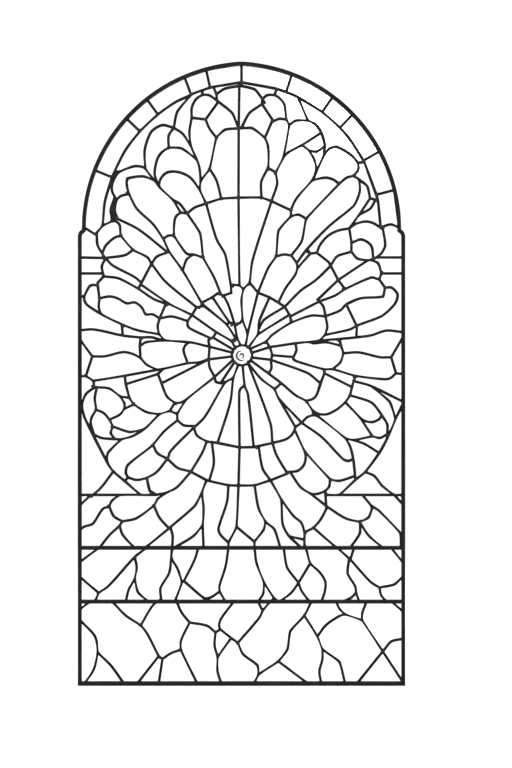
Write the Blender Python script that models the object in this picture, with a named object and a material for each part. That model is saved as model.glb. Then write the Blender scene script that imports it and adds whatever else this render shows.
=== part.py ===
"""A round-headed stained glass window: clear panes in lead came, set in a grooved metal frame.

The window stands upright, faces -Y, and has its origin at the middle of the sill's underside.
The lead lines follow a cartoon, as a glazier's do: each line is a short list of points in squares,
counted from the centre line and up from the sill, with a smooth curve through them. Everything
else, such as the frame, the bars, the cames and the glass, is worked out from the sizes below.
"""

import math

import bmesh
import bpy
from mathutils import Vector, geometry

# Driving sizes, in metres
WIDTH = 0.700  # over the frame's jambs
BOTTOM_BAND = 0.175  # from the sill's middle line to the lower bar's
MIDDLE_BAND = 0.115  # from the lower bar's middle line to the upper bar's
ROSE_RISE = 0.681  # from the upper bar's middle line to the spring of the arch
ARCH_STEP = 0.0085  # the arch's foot stands this far in from the jamb
ARCH_OFFSET = 0.0175  # each arc is struck from this far past the centre line, a faintly pointed head
SHOULDER = 0.013  # height of the rounded step from the jamb to the arch's foot
BORDER = 0.0395  # between the two arched lines that hold the border's panes
RONDEL_RADIUS = 0.022  # the round pane at the rose's hub
FRAME_FACE = 0.008
FRAME_DEPTH = 0.016
FRAME_WEB = 0.003  # the frame's outer wall, behind its groove
BAR_FACE = 0.008
BAR_DEPTH = 0.016
BAR_WEB = 0.0016
CAME_FACE = 0.006
CAME_LEAF = 0.0014
GLASS = 0.003
GAP = 0.0003  # between pieces that touch

# Limits for the outlines, in metres
CURVE_TOLERANCE = 0.0025
EDGE_TOLERANCE = 0.0010  # of an opening's edge, once it stands clear of the lead's middle line
LEAST_EDGE = 0.0030  # joints nearer to each other than this become one
LEAST_NECK = 0.0020  # a pane isn't cut narrower than this
LEAST_PANE = 0.000030  # square metres: a smaller opening in the lead is solder
POINT_SPACING = 0.00005
WELD = 0.000002
TRIANGLES_INSIDE = 1  # the triangulation's output: only what lies inside the loops

# The cartoon's own frame, in squares
HALF_WIDE = 162
LOWER_BAR_AT = 82
UPPER_BAR_AT = 136
SPRING_AT = 455
REACH = 3  # a line is run on by this much, so that it crosses the one it meets
STEPS = 5

LINE_X = (WIDTH - FRAME_FACE) / 2
SILL_Z = FRAME_FACE / 2
LOWER_BAR_Z = SILL_Z + BOTTOM_BAND
UPPER_BAR_Z = LOWER_BAR_Z + MIDDLE_BAND
SPRING_Z = UPPER_BAR_Z + ROSE_RISE
ARCH_RADIUS = LINE_X - ARCH_STEP + ARCH_OFFSET
TOP_Z = SPRING_Z + ARCH_RADIUS
LEAF_INSIDE = GLASS / 2 + GAP
LEAF_OUTSIDE = LEAF_INSIDE + CAME_LEAF
SEAT = FRAME_FACE / 2 - FRAME_WEB - GAP  # the leading's edge, outside the frame's middle line
BAR_SEAT = BAR_WEB / 2 + GAP  # the leading's edge, from a bar's middle line
EDGE_HEART = 0.0018  # the strip of lead round each panel, which ties its front to its back

# Angles of the border's joints, in degrees round the middle of the spring line
BORDER_JOINTS = (158, 136, 126, 110.5, 102.5, 90, 72, 55.5, 46, 29.5, 14.5)

# The crazed band above the sill
BOTTOM_LEADS = (
    ((-163, 72), (-156, 79), (-147, 83)),
    ((-163, 65), (-148, 49), (-144, 32), (-148, 14), (-158, -1)),
    ((-144, 31), (-131, 18), (-124, 7), (-117, -1)),
    ((-131, 83), (-116, 68), (-101, 58), (-93, 47), (-86, 31), (-79, 24)),
    ((-101, 58), (-93, 72), (-88, 79), (-81, 84)),
    ((-80, 24), (-71, 30), (-60, 34)),
    ((-84, 26), (-95, 12), (-105, -1)),
    ((-79, 25), (-82, 10), (-83, -1)),
    ((-66, 84), (-60, 71), (-52, 61), (-57, 51), (-61, 41), (-60, 31), (-50, 12), (-44, -1)),
    ((-52, 61), (-40, 59), (-33, 57), (-26, 51), (-20, 55)),
    ((-6, 84), (-16, 72), (-22, 61), (-21, 54), (-11, 46), (-3, 40)),
    ((-26, 52), (-27, 38), (-24, 27), (-24, 12), (-20, -1)),
    ((-10, 46), (-18, 35), (-24, 26)),
    ((-4, 40), (5, 52), (18, 66), (22, 74), (31, 84)),
    ((21, 73), (16, 84)),
    ((-4, 41), (0, 31), (8, 24), (16, 18), (17, 9), (12, -1)),
    ((16, 8), (28, 17), (38, 23), (46, 34), (47, 48), (53, 58), (63, 68), (71, 84)),
    ((37, 22), (44, 16), (54, 9), (68, -1)),
    ((63, 68), (68, 59), (76, 47), (81, 34), (81, 24), (78, 12), (80, -1)),
    ((76, 47), (81, 55), (91, 63), (102, 69), (112, 67), (121, 63)),
    ((94, 84), (98, 75), (104, 69)),
    ((126, 84), (122, 74), (121, 63), (130, 48), (141, 32)),
    ((141, 32), (150, 42), (163, 45)),
    ((142, 32), (130, 18), (115, -1)),
    ((142, 32), (152, 18), (163, -1)),
    ((80, 35), (88, 29), (97, 23), (101, 14), (104, -1)),
    ((147, 84), (155, 78), (163, 71)),
)

# The crazed band between the bars
MIDDLE_LEADS = (
    ((-163, 121), (-151, 129), (-142, 137)),
    ((-163, 108), (-152, 98), (-143, 91), (-147, 82)),
    ((-144, 90), (-136, 95), (-122, 110), (-108, 126), (-92, 138)),
    ((-107, 127), (-105, 116), (-107, 104), (-105, 94), (-101, 88), (-93, 82)),
    ((-107, 105), (-113, 94), (-116, 82)),
    ((-70, 137), (-71, 116), (-75, 106), (-80, 99), (-82, 90), (-80, 82)),
    ((-71, 127), (-65, 117), (-60, 103), (-61, 95), (-67, 82)),
    ((-43, 137), (-47, 124), (-53, 112), (-58, 102)),
    ((-58, 103), (-51, 96), (-42, 88), (-36, 85), (-29, 87), (-22, 92)),
    ((-13, 137), (-15, 122), (-18, 110), (-22, 98), (-21, 89), (-16, 82)),
    ((13, 137), (15, 121), (20, 108), (23, 98), (21, 88), (16, 82)),
    ((21, 104), (26, 95), (31, 87), (38, 82)),
    ((42, 137), (44, 121), (49, 110), (57, 101), (60, 93), (68, 82)),
    ((57, 101), (50, 91), (38, 82)),
    ((64, 137), (68, 127), (68, 118), (57, 100)),
    ((68, 121), (77, 113), (84, 102), (83, 90), (80, 82)),
    ((94, 138), (107, 126), (117, 117), (127, 104), (138, 96), (150, 98), (157, 102), (163, 109)),
    ((113, 137), (109, 124)),
    ((108, 127), (106, 114), (108, 105), (114, 97), (115, 90), (118, 82)),
    ((115, 91), (110, 86), (100, 82)),
    ((138, 97), (140, 88), (146, 82)),
    ((148, 138), (156, 129), (163, 119)),
)

# The stem under the rose, and the panes on each side of it
STEM_LEADS = (
    ((-163, 189), (-84, 189)),
    ((84, 189), (163, 189)),
    ((-163, 152), (-158, 157), (-149, 160), (-143, 168), (-139, 175), (-132, 178)),
    ((-133, 177), (-130, 183), (-122, 189)),
    ((-133, 178), (-129, 169), (-122, 163), (-112, 163), (-101, 168), (-88, 178), (-84, 185), (-77, 190)),
    ((-119, 163), (-124, 156), (-132, 149), (-141, 137)),
    ((-122, 157), (-119, 149), (-112, 143), (-107, 136)),
    ((-88, 179), (-85, 171), (-80, 163), (-73, 155)),
    ((-72, 156), (-81, 148), (-97, 136)),
    ((-73, 155), (-66, 162), (-50, 175), (-44, 182), (-39, 193)),
    ((-71, 156), (-69, 148), (-69, 136)),
    ((-35, 204), (-39, 194), (-40, 185), (-38, 175), (-39, 155), (-38, 136)),
    ((-38, 160), (-48, 148), (-61, 140), (-67, 136)),
    ((-13, 199), (-14, 185), (-18, 170), (-23, 157), (-21, 149), (-13, 141), (-13, 136)),
    ((-3, 200), (-3, 184), (-5, 157), (-10, 147), (-13, 141)),
    ((-5, 157), (3, 149), (13, 142)),
    ((13, 199), (15, 185), (18, 173), (24, 162), (21, 152), (13, 142), (13, 136)),
    ((23, 163), (31, 157), (35, 150), (39, 136)),
    ((28, 205), (34, 194), (40, 184), (40, 170), (42, 157), (49, 146), (60, 136)),
    ((37, 188), (46, 177), (52, 168), (60, 161), (63, 152), (63, 136)),
    ((47, 148), (55, 145), (64, 144)),
    ((62, 151), (72, 156), (79, 164), (86, 177)),
    ((71, 157), (82, 147), (95, 136)),
    ((68, 191), (74, 187), (86, 177), (98, 169), (108, 164), (119, 162)),
    ((84, 190), (85, 176)),
    ((118, 162), (126, 165), (130, 173), (130, 178), (121, 189)),
    ((129, 179), (138, 173), (146, 163), (159, 151), (160, 136)),
    ((119, 163), (119, 152), (115, 145), (109, 136)),
    ((118, 162), (126, 150), (134, 142), (142, 136)),
    ((-163, 177), (-156, 185), (-148, 191)),
    ((147, 192), (155, 187), (163, 178)),
)

# The rose's lower left, out to the side of the oval
LOWER_LEFT_LEADS = (
    ((-148, 296), (-156, 290), (-160, 279), (-157, 266), (-148, 248), (-136, 224), (-128, 212),
     (-116, 202), (-102, 190)),
    ((-128, 213), (-135, 204), (-141, 196), (-150, 188)),
    ((-95, 206), (-94, 199), (-91, 192), (-84, 189)),
    ((-89, 239), (-98, 231), (-107, 225), (-114, 219), (-116, 211), (-113, 206), (-105, 204),
     (-95, 206), (-85, 212), (-74, 226)),
    ((-113, 207), (-118, 202)),
    ((-90, 238), (-84, 246), (-73, 257), (-64, 264)),
    ((-89, 240), (-87, 234), (-82, 229), (-74, 225), (-67, 218), (-59, 214), (-52, 213)),
    ((-74, 225), (-71, 233), (-60, 243), (-49, 255)),
    ((-52, 210), (-57, 204), (-67, 195), (-76, 191), (-86, 189)),
    ((-51, 212), (-43, 225), (-37, 236), (-34, 245)),
    ((-51, 212), (-36, 204), (-15, 199), (0, 198), (15, 199), (30, 204), (45, 210)),
    ((-30, 244), (-28, 232), (-28, 218), (-32, 204)),
    ((-48, 257), (-46, 250), (-36, 243), (-22, 241), (-10, 238), (5, 236), (17, 238), (31, 241),
     (43, 244), (51, 250), (54, 257)),
    ((-149, 297), (-138, 297), (-129, 294), (-121, 287), (-117, 279), (-120, 271), (-131, 265)),
    ((-145, 297), (-147, 286), (-146, 274)),
    ((-145, 275), (-150, 267), (-151, 257), (-147, 248)),
    ((-146, 275), (-138, 271), (-132, 264), (-129, 257)),
    ((-129, 258), (-131, 251), (-127, 245)),
    ((-130, 258), (-121, 255), (-112, 252), (-98, 255)),
    ((-149, 250), (-140, 246), (-128, 245), (-118, 245), (-107, 249), (-95, 257), (-82, 270)),
    ((-120, 245), (-131, 235), (-135, 227), (-133, 217)),
    ((-107, 280), (-113, 278), (-119, 274)),
    ((-122, 288), (-111, 286)),
    ((-117, 309), (-116, 300), (-113, 288), (-107, 279), (-95, 272), (-82, 270), (-72, 273), (-67, 281)),
    ((-72, 273), (-64, 270)),
    ((-80, 301), (-77, 291), (-71, 284), (-65, 281), (-58, 283), (-47, 291), (-36, 300), (-27, 307)),
    ((-55, 285), (-62, 275), (-65, 267), (-62, 261), (-55, 258), (-47, 258)),
)

# The rose's left side
LEFT_LEADS = (
    ((-84, 311), (-80, 300)),
    ((-150, 303), (-142, 305), (-127, 307), (-114, 309), (-97, 313), (-80, 315), (-64, 319),
     (-54, 321), (-42, 322), (-32, 326)),
    ((-116, 300), (-104, 304), (-93, 307), (-84, 310), (-78, 316)),
    ((-80, 301), (-69, 307), (-57, 312), (-45, 319), (-33, 324)),
    ((-163, 308), (-156, 308), (-149, 304)),
    ((-148, 305), (-148, 296)),
    ((-156, 308), (-152, 320), (-149, 329)),
    ((-149, 327), (-155, 335), (-163, 347)),
    ((-150, 328), (-137, 328), (-124, 332), (-111, 331), (-101, 326)),
    ((-163, 354), (-150, 355), (-140, 353), (-128, 350), (-104, 347), (-90, 347), (-79, 344)),
    ((-120, 360), (-119, 349)),
    ((-144, 399), (-151, 399), (-157, 391), (-156, 381), (-142, 371), (-120, 360), (-104, 354), (-83, 350)),
    ((-163, 388), (-157, 388)),
    ((-144, 400), (-143, 389), (-142, 383), (-143, 377), (-140, 369)),
    ((-143, 386), (-134, 388), (-124, 386), (-115, 381), (-107, 382), (-100, 377), (-96, 370),
     (-89, 370), (-81, 365)),
    ((-76, 380), (-81, 368), (-84, 358), (-82, 349), (-77, 344), (-65, 342), (-52, 342), (-40, 339),
     (-31, 338)),
    ((-83, 366), (-72, 368), (-62, 366), (-53, 363)),
    ((-49, 370), (-54, 363), (-53, 357), (-46, 353), (-36, 348), (-31, 346)),
    ((-139, 408), (-130, 408), (-118, 404), (-104, 396), (-91, 387), (-78, 381), (-68, 379),
     (-49, 369), (-36, 361), (-25, 352), (-11, 344), (-7, 338)),
    ((-101, 400), (-88, 392), (-73, 381)),
    ((-104, 395), (-100, 402)),
    ((-40, 378), (-45, 377), (-50, 369)),
    ((-52, 342), (-57, 338), (-58, 331), (-54, 321)),
    ((-101, 348), (-102, 337), (-102, 328), (-97, 321), (-86, 315), (-78, 314)),
    ((-102, 338), (-96, 342), (-86, 343), (-75, 344)),
)

# The hub, round the rondel
HUB_LEADS = (
    ((-29, 347), (-18, 340), (-7, 334)),
    ((-32, 337), (-18, 334), (-7, 331)),
    ((-33, 325), (-18, 327), (-7, 328)),
    ((-8, 325), (-16, 316), (-27, 307)),
    ((-7, 322), (-14, 312), (-21, 301)),
    ((-27, 308), (-27, 304), (-23, 301), (-14, 302), (-8, 307)),
    ((-17, 301), (-25, 287), (-35, 270), (-42, 261), (-49, 256)),
    ((-3, 320), (-7, 311), (-9, 302), (-10, 288), (-14, 272), (-20, 257), (-24, 241)),
    ((1, 320), (2, 305), (3, 298), (-2, 293), (-2, 270), (-2, 240), (-2, 215), (-3, 199)),
    ((3, 299), (6, 292), (8, 275), (12, 240), (12, 236)),
    ((7, 320), (12, 305), (17, 290), (24, 273), (30, 257), (31, 241), (35, 229), (42, 218), (46, 210)),
    ((8, 319), (20, 305), (33, 295), (38, 284), (46, 271), (54, 257)),
    ((38, 285), (46, 276), (61, 261)),
    ((9, 324), (20, 316), (28, 310), (40, 301)),
    ((40, 301), (36, 299), (33, 295)),
    ((9, 331), (18, 334), (28, 337)),
    ((9, 327), (19, 325), (30, 324)),
    ((8, 335), (18, 340), (25, 343)),
    ((24, 344), (28, 337), (31, 330), (29, 323), (30, 316), (27, 310)),
    ((15, 349), (20, 352), (33, 361), (47, 369)),
    ((43, 378), (31, 371), (21, 363), (17, 355), (15, 347), (7, 337)),
    ((28, 387), (24, 379), (20, 369), (17, 360), (17, 351)),
    ((16, 392), (12, 377), (8, 363), (6, 350), (4, 338)),
    ((2, 396), (0, 385), (1, 364)),
    ((-7, 360), (-2, 361), (1, 365), (4, 358), (6, 350)),
    ((-18, 389), (-13, 379), (-9, 366), (-7, 359), (-6, 350), (-3, 344), (0, 337)),
    ((-29, 387), (-21, 376), (-13, 364), (-12, 361)),
    ((-41, 382), (-31, 372), (-15, 360), (-12, 354), (-6, 346), (-3, 344)),
    ((-16, 359), (-12, 362), (-6, 360)),
    ((-11, 343), (-3, 347)),
    ((-25, 353), (-28, 347), (-33, 345), (-32, 338), (-33, 325), (-32, 317), (-27, 308)),
    ((-40, 382), (-31, 386), (-24, 391), (-19, 389), (-13, 390), (-11, 391)),
    ((-10, 388), (-10, 399), (-2, 399), (2, 395), (8, 402), (16, 392), (28, 387), (35, 383), (43, 378)),
    ((-40, 384), (-40, 377)),
)

# The rose's right side
RIGHT_LEADS = (
    ((27, 337), (40, 339), (54, 341), (64, 342), (78, 344)),
    ((54, 341), (55, 334), (52, 325), (62, 321), (73, 317), (82, 315), (92, 315)),
    ((30, 329), (43, 329), (53, 327)),
    ((29, 325), (40, 322), (50, 318), (60, 314), (70, 309), (78, 302)),
    ((63, 283), (71, 285), (77, 292), (79, 301), (83, 311), (82, 316)),
    ((72, 269), (70, 277), (65, 283), (54, 289), (40, 301)),
    ((71, 274), (78, 270), (86, 270), (96, 275), (105, 283), (110, 292), (111, 300), (114, 307)),
    ((83, 311), (95, 304), (103, 300), (111, 297)),
    ((89, 316), (103, 311), (121, 307), (138, 305), (149, 306), (155, 311), (163, 310)),
    ((155, 310), (152, 320), (150, 327), (156, 336), (163, 350)),
    ((102, 331), (115, 332), (127, 330), (139, 327), (150, 327)),
    ((76, 343), (96, 345), (116, 347), (130, 349), (141, 353), (151, 354), (163, 352)),
    ((98, 347), (99, 340), (102, 331), (99, 322), (91, 315)),
    ((63, 344), (72, 341), (85, 342), (98, 339)),
    ((83, 349), (96, 353), (109, 355), (116, 359)),
    ((115, 360), (116, 354), (115, 347)),
    ((105, 380), (109, 370), (115, 358)),
    ((143, 397), (150, 397), (156, 391), (155, 383), (148, 374), (138, 367), (116, 359)),
    ((144, 396), (143, 389), (138, 387), (126, 387), (115, 385), (106, 381), (99, 374), (84, 368)),
    ((138, 405), (130, 407), (115, 400), (103, 395), (94, 389), (82, 385), (64, 375), (49, 368)),
    ((97, 404), (104, 395)),
    ((96, 403), (86, 393), (74, 383)),
    ((77, 384), (82, 378), (84, 369), (86, 359), (84, 350), (78, 344)),
    ((48, 361), (60, 366), (72, 369), (85, 368)),
    ((43, 378), (45, 373), (49, 368), (49, 361), (38, 354), (29, 348), (24, 342)),
)

# The rose's lower right
LOWER_RIGHT_LEADS = (
    ((17, 238), (19, 223), (23, 211), (30, 203)),
    ((45, 212), (56, 213), (63, 220), (64, 230), (59, 242), (52, 257)),
    ((48, 213), (53, 205), (61, 195), (70, 190), (80, 191), (87, 196), (89, 204), (84, 211),
     (76, 219), (64, 232)),
    ((88, 205), (96, 203), (105, 205), (114, 208)),
    ((163, 282), (157, 272), (149, 252), (138, 231), (124, 212), (114, 204), (98, 189)),
    ((124, 212), (133, 208), (139, 200), (150, 191), (156, 188)),
    ((114, 206), (113, 216), (112, 225), (109, 237), (104, 246)),
    ((112, 225), (106, 223), (99, 227), (90, 237), (78, 249), (62, 260)),
    ((54, 257), (61, 262), (66, 267), (73, 269), (79, 266), (90, 256), (102, 247), (112, 244),
     (122, 245), (129, 248), (137, 246), (144, 248), (150, 254)),
    ((108, 245), (119, 242), (129, 237), (138, 231)),
    ((131, 248), (125, 256), (119, 266), (112, 274), (104, 282)),
    ((118, 267), (124, 263), (131, 262), (138, 265), (141, 270)),
    ((108, 289), (121, 286), (132, 280), (139, 271), (146, 260), (146, 248)),
    ((113, 303), (128, 299), (146, 289), (163, 282)),
    ((130, 298), (141, 290), (150, 280), (154, 266)),
)

# The rose's upper left, out to the curl at the jamb
UPPER_LEFT_LEADS = (
    ((-163, 427), (-136, 427)),
    ((-163, 411), (-138, 411)),
    ((-138, 408), (-144, 402), (-144, 396)),
    ((-136, 426), (-140, 418), (-138, 408)),
    ((-136, 426), (-129, 419), (-117, 413), (-105, 406), (-100, 401)),
    ((-136, 426), (-124, 428), (-115, 430), (-108, 435)),
    ((-140, 430), (-137, 438), (-131, 442), (-127, 447), (-120, 449)),
    ((-145, 452), (-145, 443), (-142, 434), (-135, 425)),
    ((-121, 447), (-121, 457), (-125, 463), (-131, 463), (-139, 459), (-145, 452)),
    ((-163, 449), (-157, 456), (-151, 452), (-144, 449)),
    ((-75, 433), (-84, 441), (-96, 450), (-108, 458), (-122, 463)),
    ((-90, 421), (-86, 427), (-80, 430), (-72, 433)),
    ((-90, 420), (-94, 427), (-108, 434), (-115, 443), (-121, 449)),
    ((-89, 423), (-96, 410), (-100, 402)),
    ((-90, 422), (-80, 407), (-70, 397), (-58, 387), (-45, 377)),
    ((-40, 382), (-50, 399), (-59, 414), (-68, 427), (-76, 438), (-80, 449), (-91, 463),
     (-105, 476), (-112, 489), (-115, 500), (-114, 507)),
    ((-115, 506), (-105, 508), (-97, 508), (-87, 504)),
    ((-112, 491), (-120, 489), (-125, 485), (-127, 476), (-125, 467), (-120, 463)),
    ((-126, 486), (-130, 495), (-128, 505), (-121, 514), (-110, 518), (-100, 518), (-94, 514)),
    ((-127, 487), (-131, 475), (-130, 463)),
    ((-124, 513), (-134, 513)),
    ((-39, 427), (-48, 430), (-55, 425), (-59, 414)),
    ((-48, 430), (-55, 431), (-63, 441), (-68, 450), (-68, 460), (-65, 469), (-60, 472), (-55, 471)),
    ((-67, 449), (-73, 449), (-80, 445)),
    ((-61, 472), (-68, 484), (-80, 495), (-88, 505), (-96, 515), (-97, 525), (-97, 535), (-94, 547),
     (-87, 556), (-77, 560), (-68, 557), (-59, 551), (-52, 541), (-46, 528), (-42, 516),
     (-41, 501), (-42, 491)),
    ((-54, 471), (-62, 481), (-69, 485)),
    ((-21, 391), (-28, 408), (-35, 421), (-39, 429), (-40, 445), (-43, 455), (-49, 464), (-55, 472)),
    ((-10, 390), (-11, 402), (-14, 420), (-18, 435), (-24, 443), (-29, 459), (-35, 481)),
    ((-82, 500), (-81, 506), (-75, 512), (-66, 513), (-56, 510), (-47, 503), (-41, 493), (-36, 481)),
    ((-84, 501), (-87, 509), (-86, 520), (-82, 530), (-73, 537), (-62, 537), (-53, 532), (-46, 526)),
)

# The fan over the rose, up to the head of the arch
FAN_LEADS = (
    ((-2, 397), (-2, 440), (-3, 487), (-3, 540), (-2, 604)),
    ((8, 401), (10, 420), (17, 442), (25, 465), (30, 485)),
    ((-55, 471), (-47, 477), (-36, 481), (-20, 486), (-3, 487), (10, 488), (20, 487), (31, 483),
     (42, 478), (50, 474)),
    ((-68, 556), (-67, 566), (-63, 575), (-49, 591)),
    ((-68, 557), (-73, 549), (-73, 537)),
    ((-50, 536), (-52, 545), (-52, 557), (-50, 567), (-50, 576), (-46, 585), (-39, 590), (-31, 589),
     (-23, 583)),
    ((-51, 567), (-43, 567), (-36, 565)),
    ((-37, 564), (-32, 573), (-23, 583)),
    ((-36, 566), (-32, 556), (-25, 547)),
    ((-26, 546), (-20, 553), (-11, 557), (-2, 557)),
    ((-25, 548), (-28, 537), (-31, 525), (-32, 514)),
    ((-32, 516), (-37, 509), (-42, 502)),
    ((-32, 516), (-25, 504), (-20, 485)),
    ((-24, 584), (-14, 577), (-7, 568), (-3, 557)),
    ((-24, 582), (-25, 590), (-29, 600)),
    ((-26, 590), (-17, 596), (-2, 599)),
    ((0, 557), (4, 566), (11, 575), (21, 581)),
    ((20, 579), (21, 586), (27, 590), (35, 589), (42, 582), (45, 573), (45, 565), (48, 559)),
    ((21, 581), (25, 573), (31, 565)),
    ((31, 563), (38, 566), (46, 565)),
    ((31, 565), (28, 556), (23, 546)),
    ((-2, 556), (9, 557), (17, 553), (24, 546), (27, 535), (27, 517)),
    ((27, 519), (21, 507), (19, 497), (20, 486)),
    ((26, 517), (34, 513), (36, 503), (33, 492), (30, 482)),
    ((34, 511), (39, 522), (45, 531), (53, 535), (61, 540), (67, 545), (80, 552)),
    ((42, 528), (44, 540), (46, 552), (48, 560)),
    ((47, 559), (54, 564), (62, 563), (69, 564), (77, 557), (83, 545), (83, 533), (80, 521), (73, 508)),
    ((67, 563), (64, 573), (55, 590)),
    ((60, 540), (67, 535), (72, 527), (75, 517), (73, 508)),
    ((69, 534), (75, 533), (84, 539)),
    ((-3, 599), (10, 597), (17, 592), (22, 584)),
    ((33, 589), (36, 598)),
    ((-39, 589), (-40, 598)),
)

# The rose's upper right, out to the curl at the jamb
UPPER_RIGHT_LEADS = (
    ((83, 530), (88, 536), (95, 538), (105, 533), (113, 527), (117, 521), (117, 515), (112, 509)),
    ((116, 522), (125, 523)),
    ((17, 392), (23, 407), (28, 419), (35, 429), (36, 445), (38, 456), (49, 467), (50, 476)),
    ((37, 382), (44, 396), (54, 410), (56, 417), (55, 422), (49, 430)),
    ((34, 428), (43, 430), (50, 429), (57, 437), (62, 448), (65, 464), (62, 468), (56, 470), (49, 468)),
    ((49, 474), (55, 486), (70, 503), (74, 513)),
    ((64, 465), (74, 476), (90, 491), (99, 502), (110, 509), (118, 505), (124, 501), (128, 494), (129, 487)),
    ((70, 504), (82, 507), (92, 505), (99, 500)),
    ((55, 421), (66, 436), (77, 448), (94, 464), (109, 475), (116, 485), (119, 497), (118, 505)),
    ((56, 416), (64, 424), (69, 431), (66, 435)),
    ((66, 433), (71, 430), (76, 432)),
    ((75, 431), (79, 440), (87, 449), (97, 454), (108, 456)),
    ((75, 432), (83, 427), (90, 419)),
    ((89, 419), (93, 426), (101, 431), (111, 433)),
    ((108, 457), (110, 445), (110, 432)),
    ((109, 441), (114, 444), (121, 445), (128, 441), (131, 436), (132, 426)),
    ((109, 434), (116, 426), (125, 424), (133, 426), (140, 431), (144, 439), (144, 447), (141, 458)),
    ((107, 455), (115, 461), (126, 463), (135, 460), (142, 455)),
    ((141, 469), (139, 480), (134, 485), (129, 486)),
    ((139, 457), (147, 460), (154, 459), (163, 453)),
    ((129, 487), (121, 474), (108, 457)),
    ((134, 484), (129, 476), (119, 470)),
    ((135, 427), (163, 427)),
    ((139, 411), (163, 411)),
    ((128, 425), (136, 422), (139, 416), (140, 410), (138, 405), (144, 396)),
    ((128, 425), (115, 417), (97, 405)),
    ((88, 421), (93, 412), (97, 404)),
    ((90, 419), (74, 404), (62, 396), (50, 385), (43, 377)),
)

ALL_LEADS = (
    BOTTOM_LEADS, MIDDLE_LEADS, STEM_LEADS, LOWER_LEFT_LEADS, LEFT_LEADS, HUB_LEADS, RIGHT_LEADS,
    LOWER_RIGHT_LEADS, UPPER_LEFT_LEADS, FAN_LEADS, UPPER_RIGHT_LEADS,
)
RONDEL_AT = (0.5, 329)


def height_of(squares):
    """The built height of a height on the cartoon, so that each band keeps its own lines."""
    levels = (
        (0, SILL_Z), (LOWER_BAR_AT, LOWER_BAR_Z), (UPPER_BAR_AT, UPPER_BAR_Z), (SPRING_AT, SPRING_Z),
    )
    if squares >= SPRING_AT:
        return SPRING_Z + (squares - SPRING_AT) * LINE_X / HALF_WIDE
    pairs = list(zip(levels, levels[1:]))
    (low, low_z), (high, high_z) = next((p for p in pairs if squares <= p[1][0]), pairs[-1])
    return low_z + (squares - low) * (high_z - low_z) / (high - low)


def placed(point):
    """A point of the cartoon, in metres."""
    return Vector((point[0] * LINE_X / HALF_WIDE, height_of(point[1])))


def smooth(points):
    """Points along a Catmull-Rom curve through the given ones."""
    if len(points) < 3:
        return list(points)
    ends = [2 * points[0] - points[1], *points, 2 * points[-1] - points[-2]]
    curve = []
    for a, b, c, d in zip(ends, ends[1:], ends[2:], ends[3:]):
        for step in range(STEPS):
            t = step / STEPS
            curve.append(
                0.5 * (2 * b + (c - a) * t + (2 * a - 5 * b + 4 * c - d) * t**2
                       + (3 * b - a - 3 * c + d) * t**3)
            )
    return curve + [points[-1]]


def lead_line(squares):
    """One lead's middle line, run on a little at both ends."""
    line = smooth([placed(p) for p in squares])
    reach = REACH * LINE_X / HALF_WIDE
    line[0] = line[0] + (line[0] - line[1]).normalized() * reach
    line[-1] = line[-1] + (line[-1] - line[-2]).normalized() * reach
    return line


def arc(centre, radius, start, end, steps):
    """Points on a circle, between two angles in degrees."""
    angles = [math.radians(start + (end - start) * i / steps) for i in range(steps + 1)]
    return [centre + radius * Vector((math.cos(a), math.sin(a))) for a in angles]


def arch_line(inset, steps=16):
    """The arch's two arcs from right to left, this far inside the frame's middle line."""
    radius = ARCH_RADIUS - inset
    apex = math.degrees(math.acos(ARCH_OFFSET / radius))
    right = arc(Vector((-ARCH_OFFSET, SPRING_Z)), radius, 0, apex, steps)
    left = [Vector((-p.x, p.y)) for p in reversed(right)]
    return right + left[1:]


def outline(offset=0.0, foot=None):
    """The window's closed outline anticlockwise, this far outside the frame's middle line."""
    side = LINE_X + offset
    foot = SILL_Z - offset if foot is None else foot
    shoulder = [
        Vector((side, SPRING_Z - SHOULDER)),
        Vector((side - 0.3 * ARCH_STEP, SPRING_Z - 0.4 * SHOULDER)),
    ]
    right = [Vector((side, foot)), *shoulder]
    left = [Vector((-p.x, p.y)) for p in reversed(right)]
    return right + arch_line(-offset) + left


def crossings(lines):
    """The points and edges that the lines make, split wherever they cross."""
    points, edges = [], []
    for line in lines:
        start = len(points)
        points += line
        edges += [(start + i, start + i + 1) for i in range(len(line) - 1)]
    found = geometry.delaunay_2d_cdt(points, edges, [], 0, POINT_SPACING, True)
    drawn = [edge for edge, sources in zip(found[1], found[4]) if sources]
    return found[0], drawn


def middle_of(loop):
    """The mean of a loop's points."""
    return sum(loop, Vector((0, 0))) / len(loop)


def neighbours(edges):
    """Each point's neighbours."""
    near = {}
    for a, b in edges:
        near.setdefault(a, set()).add(b)
        near.setdefault(b, set()).add(a)
    return near


def without_loose_ends(edges):
    """The edges left once every end that meets nothing is cut back."""
    near = neighbours(edges)
    loose = [p for p in near if len(near[p]) == 1]
    while loose:
        point = loose.pop()
        for other in near.pop(point, ()):
            near[other].discard(point)
            if len(near[other]) == 1:
                loose.append(other)
    return [(a, b) for a, b in edges if b in near.get(a, ())]


def thinned(points, chain, tolerance):
    """The chain of point numbers with those dropped that its shape doesn't need."""
    if len(chain) < 3:
        return chain
    a, b = points[chain[0]], points[chain[-1]]
    along = b - a

    def off(point):
        if along.length < POINT_SPACING:
            return (point - a).length
        t = max(0.0, min(1.0, (point - a).dot(along) / along.length_squared))
        return (point - a - t * along).length

    far = max(range(1, len(chain) - 1), key=lambda i: off(points[chain[i]]))
    if off(points[chain[far]]) < tolerance and chain[0] != chain[-1]:
        return [chain[0], chain[-1]]
    before = thinned(points, chain[: far + 1], tolerance)
    return before[:-1] + thinned(points, chain[far:], tolerance)


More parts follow.
